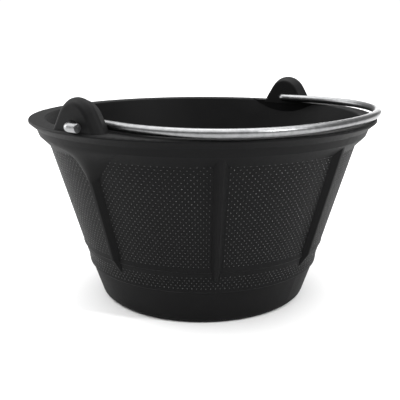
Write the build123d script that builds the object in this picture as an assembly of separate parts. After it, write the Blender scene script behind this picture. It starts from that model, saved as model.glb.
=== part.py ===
from build123d import *
from math import cos, radians, sin, sqrt, tan
import os

# Feed bucket: a moulded rubber bucket with two lugs on its rim, and a bent steel bail that swings in them.
# Millimetres. The origin is the centre of the underside, +Z is up, the lugs are on +Y and -Y,
# and the bail lies over +X at rest.

# ---- bucket
HEIGHT = 192.0
BASE_R = 110.6              # outer radius at the floor, before its corner is rounded
MOUTH_R = 164.0             # inner radius at the rim
FLANGE_R = 181.0            # outer radius of the rim flange
FLOOR_T = 8.0
INNER_SLOPE = 0.31          # inner radius gained per millimetre of height
SKIRT_HEAD = (122.6, 36.2)  # radius and height: top of the skirt, under a small ledge
LOWER_STEP = (124.6, 37.8)
BAND_FOOT = (125.1, 46.0)
BAND_HEAD = (129.2, 58.6)   # top of the narrow band, under a second ledge
UPPER_STEP = (130.9, 60.0)
WALL_FOOT = (131.2, 64.5)   # where the long upper wall starts
WALL_HEAD = (160.5, 165.2)  # radius and height where it meets the collar
COLLAR_FOOT = (171.1, 175.8)
COLLAR_HEAD = (173.6, 183.0)
FLANGE_ROOT = (179.6, 188.0)
FLANGE_EDGE_Z = 189.3       # lower edge of the flange's upright rim

# ---- ribs on the long wall: one below each lug, three between them in front and one behind
RIB_AZIMUTHS = (-90, -45, 0, 45, 90, 180)
RIB_RISE = 5.4
RIB_CREST = 1.9             # half width of the crest
RIB_ROOT = 2.0              # depth of the rib's root inside the wall
RIB_ROUND = 1.2
RIB_HEAD = (177.0, 6.6)     # height and half width of the base: hidden inside the collar
RIB_FOOT = (64.0, 5.0)      # lower end of the full section
RIB_TIP_Z = 49.0            # where the rib runs out to a point

# ---- lugs that carry the bail
LUG_IN = 158.0              # flat inner face, measured from the bucket's axis
LUG_RIDGE = 169.5           # widest section
LUG_OUT = 177.5             # flat outer face
LUG_HEAD_R = 25.2           # round head, concentric with the pivot
LUG_SIDE = 32.0             # slope of the lug's sides from upright, degrees
LUG_OUTER_BEVEL = 33.0      # slope of the broad bevel on each side of the ridge, degrees
LUG_INNER_BEVEL = 24.0
LUG_RIDGE_ROUND = 6.0
LUG_OUTER_ROUND = 4.5
LUG_INNER_ROUND = 2.5
LUG_FOOT_Z = 180.0          # where the outline ends, before it is cut off inside the flange
LUG_EDGE_INSET = 0.8        # how far the lug's foot stays inside the flange's edge
PAD_SIZE = (92.0, 3.0, 16.0)    # pad that carries the lug's inner face down the mouth
PAD_TILT = 9.0              # slope of the pad's face, degrees

# ---- gusset under each lug: height, half width, and reach from the axis at its middle
GUSSET = (
    (181.0, 43.0, 172.3), (175.8, 43.0, 171.3), (169.0, 30.0, 168.2), (162.0, 20.0, 165.6),
    (156.0, 14.5, 163.6), (150.5, 10.2, 161.9), (147.0, 7.0, 161.0), (143.5, 2.5, 160.1))
GUSSET_ROOT = 1.5           # depth behind the wall's surface

# ---- bail
ROD_R = 4.1
PIVOT_Z = 197.2
HOLE_R = 4.9
BEND_R = 5.5                # centreline radius of the two bends at each lug
ARM_Y = 152.0               # start of the straight arm beside the lug
ARM_LEAN = 5.7              # outward lean of the arm, degrees
ARM_LENGTH = 28.0
HOOK_Y = 184.2              # turned-over end outside the lug
HOOK_X = 15.0               # length of the turned-over end
CUT_CHAMFER = 0.5           # on the rod's cut ends
ARCH_X = 175.6              # reach of the arch
SHOULDER_PULL = 82.0        # handle lengths of the arch's curve, at the arm and at the apex
APEX_PULL = 107.5


def along(start, end, z):
    """Radius at height z on the straight profile line through two (radius, height) corners."""
    (r0, z0), (r1, z1) = start, end
    return r0 + (r1 - r0) * (z - z0) / (z1 - z0)


def wall_radius(z):
    """Outer radius of the long upper wall at height z."""
    return along(WALL_FOOT, WALL_HEAD, z)


def outer_radius(z):
    """Outer radius of the wall or the collar above it at height z."""
    if z < WALL_HEAD[1]:
        return wall_radius(z)
    if z < COLLAR_FOOT[1]:
        return along(WALL_HEAD, COLLAR_FOOT, z)
    return along(COLLAR_FOOT, COLLAR_HEAD, z)


def shell():
    """The turned bucket: floor, stepped skirt, long wall, collar and flat rim flange."""
    floor_r = MOUTH_R - INNER_SLOPE * (HEIGHT - FLOOR_T)
    # radius, height, and the rounding of that corner
    corners = (
        (0, 0, 0), (BASE_R, 0, 7.3), (*SKIRT_HEAD, 0.5), (*LOWER_STEP, 0.6), (*BAND_FOOT, 0),
        (*BAND_HEAD, 0.5), (*UPPER_STEP, 0.6), (*WALL_FOOT, 0),
        (*WALL_HEAD, 3), (*COLLAR_FOOT, 0.8), (*COLLAR_HEAD, 2),
        (*FLANGE_ROOT, 0), (FLANGE_R, FLANGE_EDGE_Z, 0), (FLANGE_R, HEIGHT, 1.6), (MOUTH_R, HEIGHT, 2),
        (floor_r, FLOOR_T, 14), (0, FLOOR_T, 0),
    )
    outline = make_face(Polyline(*[(r, z) for r, z, _ in corners], close=True))
    for r, z, rounding in corners:
        if rounding:
            outline = fillet(outline.vertices().sort_by_distance((r, z, 0))[0], rounding)
    return revolve(Plane.XZ * outline, Axis.Z)


def rib_section(z, half, crest, rise):
    """The rib's six-sided section on +X at height z, square to the wall."""
    lean = Vector(wall_radius(z + 1) - wall_radius(z), 0, 1)
    plane = Plane(origin=(wall_radius(z), 0, z), x_dir=(0, -1, 0), z_dir=lean)
    right = ((half, -RIB_ROOT), (half, 0), (crest, rise))
    left = ((-crest, rise), (-half, 0), (-half, -RIB_ROOT))
    return plane * make_face(Polyline(*right, *left, close=True))


def rib():
    """One rib on +X: a ridge along the wall that narrows and sinks to a point at its lower end."""
    head = rib_section(*RIB_HEAD, RIB_CREST, RIB_RISE)
    foot = rib_section(*RIB_FOOT, RIB_CREST, RIB_RISE)
    tip = rib_section(RIB_TIP_Z, RIB_CREST, RIB_CREST / 2, 0.1)
    bar = loft([head, foot], ruled=True) + loft([foot, tip], ruled=True)
    long_edges = bar.edges().filter_by(lambda edge: edge.length > HEIGHT / 2)
    return fillet(long_edges.sort_by(Axis.X)[-2:], RIB_ROUND)


def gusset():
    """The smooth web under the +Y lug: it flows out of the collar and closes to a point on the rib."""
    faces = []
    for z, half, reach in GUSSET:
        edge = sqrt(outer_radius(z) ** 2 - half ** 2)
        back = edge - GUSSET_ROOT
        front = ThreePointArc((half, edge), (0, reach), (-half, edge))
        sides = Polyline((-half, edge), (-half, back), (half, back), (half, edge))
        faces.append(Pos(0, 0, z) * make_face(front + sides))
    return loft(faces)


def lug_outline():
    """Head about the pivot, and straight sides flaring down to the flange."""
    lean = radians(LUG_SIDE)
    tangent_x = LUG_HEAD_R * cos(lean)
    tangent_z = PIVOT_Z + LUG_HEAD_R * sin(lean)
    foot_x = tangent_x + (tangent_z - LUG_FOOT_Z) * tan(lean)
    left, right = (-tangent_x, tangent_z), (tangent_x, tangent_z)
    head = ThreePointArc(right, (0, PIVOT_Z + LUG_HEAD_R), left)
    feet = Polyline(left, (-foot_x, LUG_FOOT_Z), (foot_x, LUG_FOOT_Z), right)
    return make_face(head + feet)


def lug():
    """The +Y lug: widest at a rounded ridge, bevelled down to a flat face on each side."""
    outward = Plane(origin=(0, LUG_RIDGE, 0), x_dir=(-1, 0, 0), z_dir=(0, 1, 0))
    inward = Plane(origin=(0, LUG_RIDGE, 0), x_dir=(1, 0, 0), z_dir=(0, -1, 0))
    body = extrude(outward * lug_outline(), amount=LUG_OUT - LUG_RIDGE, taper=LUG_OUTER_BEVEL)
    body += extrude(inward * lug_outline(), amount=LUG_RIDGE - LUG_IN, taper=LUG_INNER_BEVEL)
    roundings = ((LUG_RIDGE, LUG_RIDGE_ROUND), (LUG_OUT, LUG_OUTER_ROUND), (LUG_IN, LUG_INNER_ROUND))
    for y, rounding in roundings:
        section = body.edges().filter_by_position(Axis.Y, y - 0.1, y + 0.1)
        body = fillet([edge for edge in section if edge.center().Z > HEIGHT], rounding)
    above = Cylinder(FLANGE_R - LUG_EDGE_INSET, HEIGHT, align=(Align.CENTER, Align.CENTER, Align.MIN))
    return body & (Pos(0, 0, FLANGE_EDGE_Z) * above)


def pad():
    """The sloped flat below the +Y lug's inner face, merging with the round mouth."""
    width, depth, drop = PAD_SIZE
    slab = Box(width, depth, 2 * drop, align=(Align.CENTER, Align.MIN, Align.CENTER))
    below = Box(2 * width, 4 * depth, drop, align=(Align.CENTER, Align.CENTER, Align.MAX))
    return Pos(0, LUG_IN, HEIGHT) * (Rot(PAD_TILT, 0, 0) * slab & below)


def bucket_body():
    """The one-piece rubber moulding."""
    body = shell()
    for azimuth in RIB_AZIMUTHS:
        body += Rot(0, 0, azimuth) * rib()
    for turn in (0, 180):
        for feature in (gusset(), lug(), pad()):
            body += Rot(0, 0, turn) * feature
    holes = Pos(0, 0, PIVOT_Z) * Rot(90, 0, 0) * Cylinder(HOLE_R, 2 * FLANGE_R)
    return body - holes


def bail_path():
    """Centreline of the rod: hook, through the lug, arm and half the arch, then the same mirrored."""
    along_arm = Vector(1, 0).rotate(Axis.Z, ARM_LEAN)
    hook = Line((HOOK_X, HOOK_Y), (BEND_R, HOOK_Y))
    elbow = JernArc(start=hook @ 1, tangent=(-1, 0), radius=BEND_R, arc_size=90)
    eye = Line(elbow @ 1, (0, ARM_Y + BEND_R))
    bend = JernArc(start=eye @ 1, tangent=(0, -1), radius=BEND_R, arc_size=90 + ARM_LEAN)
    arm = Line(bend @ 1, bend @ 1 + along_arm * ARM_LENGTH)
    arch = Bezier(arm @ 1, arm @ 1 + along_arm * SHOULDER_PULL, (ARCH_X, APEX_PULL), (ARCH_X, 0))
    half = [hook, elbow, eye, bend, arm, arch]
    mirrored = [edge.mirror(Plane.XZ) for edge in reversed(half)]
    return Wire([Pos(0, 0, PIVOT_Z) * edge for edge in half + mirrored])


def bail_handle():
    """The bent steel rod, lying flat over +X."""
    section = Plane(origin=(HOOK_X, HOOK_Y, PIVOT_Z), z_dir=(-1, 0, 0)) * Circle(ROD_R)
    rod = sweep(section, path=bail_path())
    ends = rod.edges().filter_by(GeomType.CIRCLE).filter_by_position(Axis.X, HOOK_X - 0.1, HOOK_X + 0.1)
    return chamfer(ends, CUT_CHAMFER)


NODES = {
    "bucket_body": bucket_body,
    "bail_handle": bail_handle,
}

os.makedirs("parts", exist_ok=True)
for name, make in NODES.items():
    export_step(make(), f"parts/{name}.step")
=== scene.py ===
from math import cos, pi, radians, sin

import bpy
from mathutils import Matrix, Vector
from mathutils.bvhtree import BVHTree


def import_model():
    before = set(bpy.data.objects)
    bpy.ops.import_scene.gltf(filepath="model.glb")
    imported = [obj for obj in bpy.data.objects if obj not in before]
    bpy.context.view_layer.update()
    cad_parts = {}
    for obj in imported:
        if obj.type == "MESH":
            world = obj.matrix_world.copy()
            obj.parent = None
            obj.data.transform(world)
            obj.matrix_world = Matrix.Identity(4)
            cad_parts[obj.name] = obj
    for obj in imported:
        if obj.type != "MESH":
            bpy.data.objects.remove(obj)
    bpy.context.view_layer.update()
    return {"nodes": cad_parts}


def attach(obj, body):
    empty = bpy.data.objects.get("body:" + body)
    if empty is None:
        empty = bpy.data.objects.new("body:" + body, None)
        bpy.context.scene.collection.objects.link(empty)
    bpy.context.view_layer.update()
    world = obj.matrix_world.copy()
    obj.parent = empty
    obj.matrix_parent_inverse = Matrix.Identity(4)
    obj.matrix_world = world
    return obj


# Feed bucket: finishes, the dotted texture of the moulded wall, and a plain studio. Metres.

MM = 0.001

# the dotted texture
COLUMNS = 176                   # dots around the wall
ROW_PITCH = 2.93 * MM
UPPER_ROWS = (65.7 * MM, 165.5 * MM)
LOWER_ROWS = (41.5 * MM, 55.5 * MM)
DOT_R = 0.85 * MM
DOT_RISE = 0.6 * MM
DOT_SIDES = 8
DOT_SINK = 0.15 * MM
PLAIN_AZIMUTH = 22.5            # degrees, midway between two ribs
SAME_WALL = 0.2 * MM            # how far a dot's seat may be from the plain wall
DOT_MARGIN = 1.3                # clearance looked for around a dot, in dot radii
DOT_RINGS = ((1.0, -DOT_SINK), (0.68, 0.62 * DOT_RISE))     # share of the radius, and rise
OUTSIDE = 0.3                   # radius well clear of the bucket

# the camera
EYE = Vector((0.4453, -0.5401, 0.2767))
PITCH = 14.48                   # degrees below level
HEADING = 39.5                  # degrees around from looking along +Y
LENS = 58.86
CENTRE_SHIFT = -0.0069

# the studio
SUN_POWER = 5.6
SUN_ANGLE = 100                 # degrees
SUN_FROM = (-0.1, 0.1, 1.0)
ROOM_LEVEL = 0.25               # what surfaces see around them
BACKDROP_LEVEL = 1.05           # what the camera sees
FLOOR_SIZE = 60.0
MIDDLE = Vector((0, 0, 0.12))   # what the softboxes point at
# name, place (right of the camera's line, away from the camera, up), width, height, watts
SOFTBOXES = (
    ("left_box", (-1.3, 0.5, 0.5), 0.9, 0.8, 10),
    ("right_box", (0.75, 1.9, 0.45), 0.8, 0.6, 5),
    ("key", (1.0, -0.7, 1.0), 0.16, 0.16, 12),
    ("top", (0.0, 0.3, 1.3), 0.9, 0.5, 4),
)

# sockets of Blender's mix node that carry colours, by number because their names repeat
MIX_FIRST, MIX_SECOND, MIX_RESULT = 6, 7, 2


# ------------------------------------------------------------------ materials

class Nodes:
    """Short calls for building one material's node tree."""

    def __init__(self, name):
        self.material = bpy.data.materials.new(name)
        self.material.use_nodes = True
        self.tree = self.material.node_tree
        self.shader = self.tree.nodes["Principled BSDF"]
        self.place = self.add("ShaderNodeTexCoord").outputs["Object"]

    def add(self, kind, **inputs):
        node = self.tree.nodes.new(kind)
        for name, value in inputs.items():
            self.put(value, node.inputs[name.replace("_", " ")])
        return node

    def put(self, value, socket):
        if isinstance(value, bpy.types.NodeSocket):
            self.tree.links.new(value, socket)
        else:
            socket.default_value = value

    def noise(self, scale, detail=2.0, rough=0.5):
        node = self.add("ShaderNodeTexNoise", Scale=scale, Detail=detail, Roughness=rough)
        self.put(self.place, node.inputs["Vector"])
        return node.outputs["Fac"]

    def ramp(self, value, low, high, start=0.0, end=1.0):
        """Maps start..end to low..high, numbers or colours."""
        node = self.add("ShaderNodeValToRGB", Fac=value)
        for stop, place, colour in zip(node.color_ramp.elements, (start, end), (low, high)):
            stop.position = place
            stop.color = colour if isinstance(colour, tuple) else (colour, colour, colour, 1)
        return node.outputs["Color"]

    def mix(self, share, first, second):
        node = self.tree.nodes.new("ShaderNodeMix")
        node.data_type = "RGBA"
        self.put(share, node.inputs["Factor"])
        self.put(first, node.inputs[MIX_FIRST])
        self.put(second, node.inputs[MIX_SECOND])
        return node.outputs[MIX_RESULT]

    def bump(self, height, strength, distance, under=None):
        node = self.add("ShaderNodeBump", Height=height, Strength=strength, Distance=distance)
        if under:
            self.put(under, node.inputs["Normal"])
        return node.outputs["Normal"]

    def finish(self, **sockets):
        for name, value in sockets.items():
            self.put(value, self.shader.inputs[name.replace("_", " ")])
        return self.material


def rubber(name, rough_level, shine):
    """Satin black rubber: faint grey bloom in patches, a fine moulded grain and slight waviness."""
    black, grey, dust = (0.0025, 0.0025, 0.0027, 1), (0.005, 0.005, 0.0052, 1), (0.016, 0.016, 0.0155, 1)
    n = Nodes(name)
    patches = n.noise(9.0, 5.0, 0.6)
    specks = n.noise(420.0, 3.0, 0.65)
    grain = n.noise(1500.0, 2.0, 0.5)
    waves = n.noise(38.0, 2.0, 0.4)
    base = n.ramp(patches, black, grey, 0.3, 0.75)
    dusty = n.ramp(specks, 0.0, 1.0, 0.58, 0.8)
    colour = n.mix(n.ramp(dusty, 0.0, 0.3), base, dust)
    broad = n.ramp(patches, rough_level, rough_level + 0.14, 0.25, 0.8)
    fine = n.ramp(specks, rough_level - 0.04, rough_level + 0.2, 0.3, 0.7)
    rough = n.mix(0.35, broad, fine)
    normal = n.bump(waves, 0.25, 0.0012)
    normal = n.bump(grain, 0.22, 0.00012, normal)
    return n.finish(Base_Color=colour, Roughness=rough, Normal=normal, Specular_IOR_Level=shine)


def steel():
    """Bright zinc-coated rod: fine mottling, small dull spots and faint scuffs."""
    dark, light, dull = (0.17, 0.172, 0.175, 1), (0.25, 0.252, 0.255, 1), (0.11, 0.108, 0.105, 1)
    n = Nodes("bright_steel")
    mottle = n.noise(210.0, 4.0, 0.6)
    spots = n.noise(620.0, 3.0, 0.6)
    scuffs = n.noise(1600.0, 2.0, 0.5)
    base = n.ramp(mottle, dark, light, 0.3, 0.7)
    colour = n.mix(n.ramp(spots, 0.0, 0.35, 0.62, 0.76), base, dull)
    rough = n.mix(0.5, n.ramp(mottle, 0.30, 0.37, 0.3, 0.7), n.ramp(spots, 0.30, 0.44, 0.4, 0.75))
    normal = n.bump(scuffs, 0.10, 0.00006)
    return n.finish(Base_Color=colour, Metallic=1.0, Roughness=rough, Normal=normal)


def floor_material():
    """Matte white paper with the faintest change of tone."""
    n = Nodes("studio_floor")
    tone = n.ramp(n.noise(3.0), (0.80, 0.80, 0.80, 1), (0.84, 0.84, 0.84, 1))
    return n.finish(Base_Color=tone, Roughness=1.0, Specular_IOR_Level=0.0)


def coat(piece, material):
    piece.data.materials.clear()
    piece.data.materials.append(material)


# ------------------------------------------------------------------ the dotted wall

def dome(seat, out, verts, faces):
    """A low round dot on the wall at seat, standing along out."""
    side = out.cross(Vector((0, 0, 1))).normalized()
    up = side.cross(out)
    first = len(verts)
    for spread, rise in DOT_RINGS:
        for k in range(DOT_SIDES):
            turn = 2 * pi * k / DOT_SIDES
            ring = side * cos(turn) + up * sin(turn)
            verts.append(seat + ring * DOT_R * spread + out * rise)
    verts.append(seat + out * DOT_RISE)
    top = first + 2 * DOT_SIDES
    for k in range(DOT_SIDES):
        after = (k + 1) % DOT_SIDES
        low, high = first + k, first + DOT_SIDES + k
        next_low, next_high = first + after, first + DOT_SIDES + after
        faces.append((low, next_low, next_high, high))
        faces.append((high, next_high, top))


def wall_dots(body):
    """Staggered rows of dots wherever the wall is plain, clear of the ribs and gussets."""
    tree = BVHTree.FromObject(body, bpy.context.evaluated_depsgraph_get())

    def seat(azimuth, height):
        outward = Vector((cos(azimuth), sin(azimuth), 0))
        hit, normal, _, _ = tree.ray_cast(outward * OUTSIDE + Vector((0, 0, height)), -outward)
        return hit, normal

    def radius(azimuth, height):
        return seat(azimuth, height)[0].xy.length

    verts, faces = [], []
    row = 0
    for low, high in (LOWER_ROWS, UPPER_ROWS):
        for step in range(int((high - low) / ROW_PITCH) + 1):
            height = low + step * ROW_PITCH
            plain = radius(radians(PLAIN_AZIMUTH), height)
            margin = DOT_MARGIN * DOT_R / plain
            for column in range(COLUMNS):
                azimuth = 2 * pi * (column + 0.5 * (row % 2)) / COLUMNS
                around = [radius(azimuth + shift, height) for shift in (-margin, 0, margin)]
                if max(abs(r - plain) for r in around) < SAME_WALL:
                    dome(*seat(azimuth, height), verts, faces)
            row += 1
    mesh = bpy.data.meshes.new("wall_dots")
    mesh.from_pydata(verts, [], faces)
    mesh.shade_smooth()
    piece = bpy.data.objects.new("wall_dots", mesh)
    bpy.context.scene.collection.objects.link(piece)
    return piece


# ------------------------------------------------------------------ studio

def floor():
    bpy.ops.mesh.primitive_plane_add(size=FLOOR_SIZE)
    plane = bpy.context.object
    plane.name = "floor"
    coat(plane, floor_material())


def from_camera_side(right, away, up):
    """A point given by what the camera sees: to its right, away from it, and up, about the bucket."""
    turn = radians(HEADING)
    return Vector((right * cos(turn) - away * sin(turn), right * sin(turn) + away * cos(turn), up))


def sun():
    """Broad even light from above, which keeps the sweep of floor white."""
    data = bpy.data.lights.new("overhead", "SUN")
    data.energy = SUN_POWER
    data.angle = radians(SUN_ANGLE)
    lamp = bpy.data.objects.new("overhead", data)
    lamp.rotation_euler = from_camera_side(*SUN_FROM).to_track_quat("Z", "Y").to_euler()
    bpy.context.scene.collection.objects.link(lamp)


def softbox(name, place, width, height, watts):
    data = bpy.data.lights.new(name, "AREA")
    data.shape = "RECTANGLE"
    data.size = width
    data.size_y = height
    data.energy = watts
    lamp = bpy.data.objects.new(name, data)
    lamp.location = from_camera_side(*place)
    lamp.rotation_euler = (MIDDLE - lamp.location).to_track_quat("-Z", "Y").to_euler()
    bpy.context.scene.collection.objects.link(lamp)


def world():
    """White to the camera, dim grey to everything else, as in a studio sweep."""
    made = bpy.data.worlds.new("studio")
    bpy.context.scene.world = made
    made.use_nodes = True
    tree = made.node_tree
    sky = tree.nodes["Background"]
    sky.inputs["Color"].default_value = (1, 1, 1, 1)
    seen = tree.nodes.new("ShaderNodeLightPath")
    level = tree.nodes.new("ShaderNodeMapRange")
    level.inputs["To Min"].default_value = ROOM_LEVEL
    level.inputs["To Max"].default_value = BACKDROP_LEVEL
    tree.links.new(seen.outputs["Is Camera Ray"], level.inputs["Value"])
    tree.links.new(level.outputs["Result"], sky.inputs["Strength"])


def camera():
    data = bpy.data.cameras.new("camera")
    data.lens = LENS
    data.sensor_width = 36
    data.shift_x = CENTRE_SHIFT
    eye = bpy.data.objects.new("camera", data)
    eye.location = EYE
    eye.rotation_euler = (radians(90 - PITCH), 0, radians(HEADING))
    bpy.context.scene.collection.objects.link(eye)
    bpy.context.scene.camera = eye


# ------------------------------------------------------------------ the scene

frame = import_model()
body = frame["nodes"]["bucket_body"]
bail = frame["nodes"]["bail_handle"]

coat(body, rubber("black_rubber", 0.52, 0.09))
coat(bail, steel())

dots = wall_dots(body)
coat(dots, rubber("black_rubber_dots", 0.16, 0.45))
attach(dots, "bucket")

floor()
sun()
for box in SOFTBOXES:
    softbox(*box)
world()
camera()
bpy.context.scene.view_settings.view_transform = "Standard"
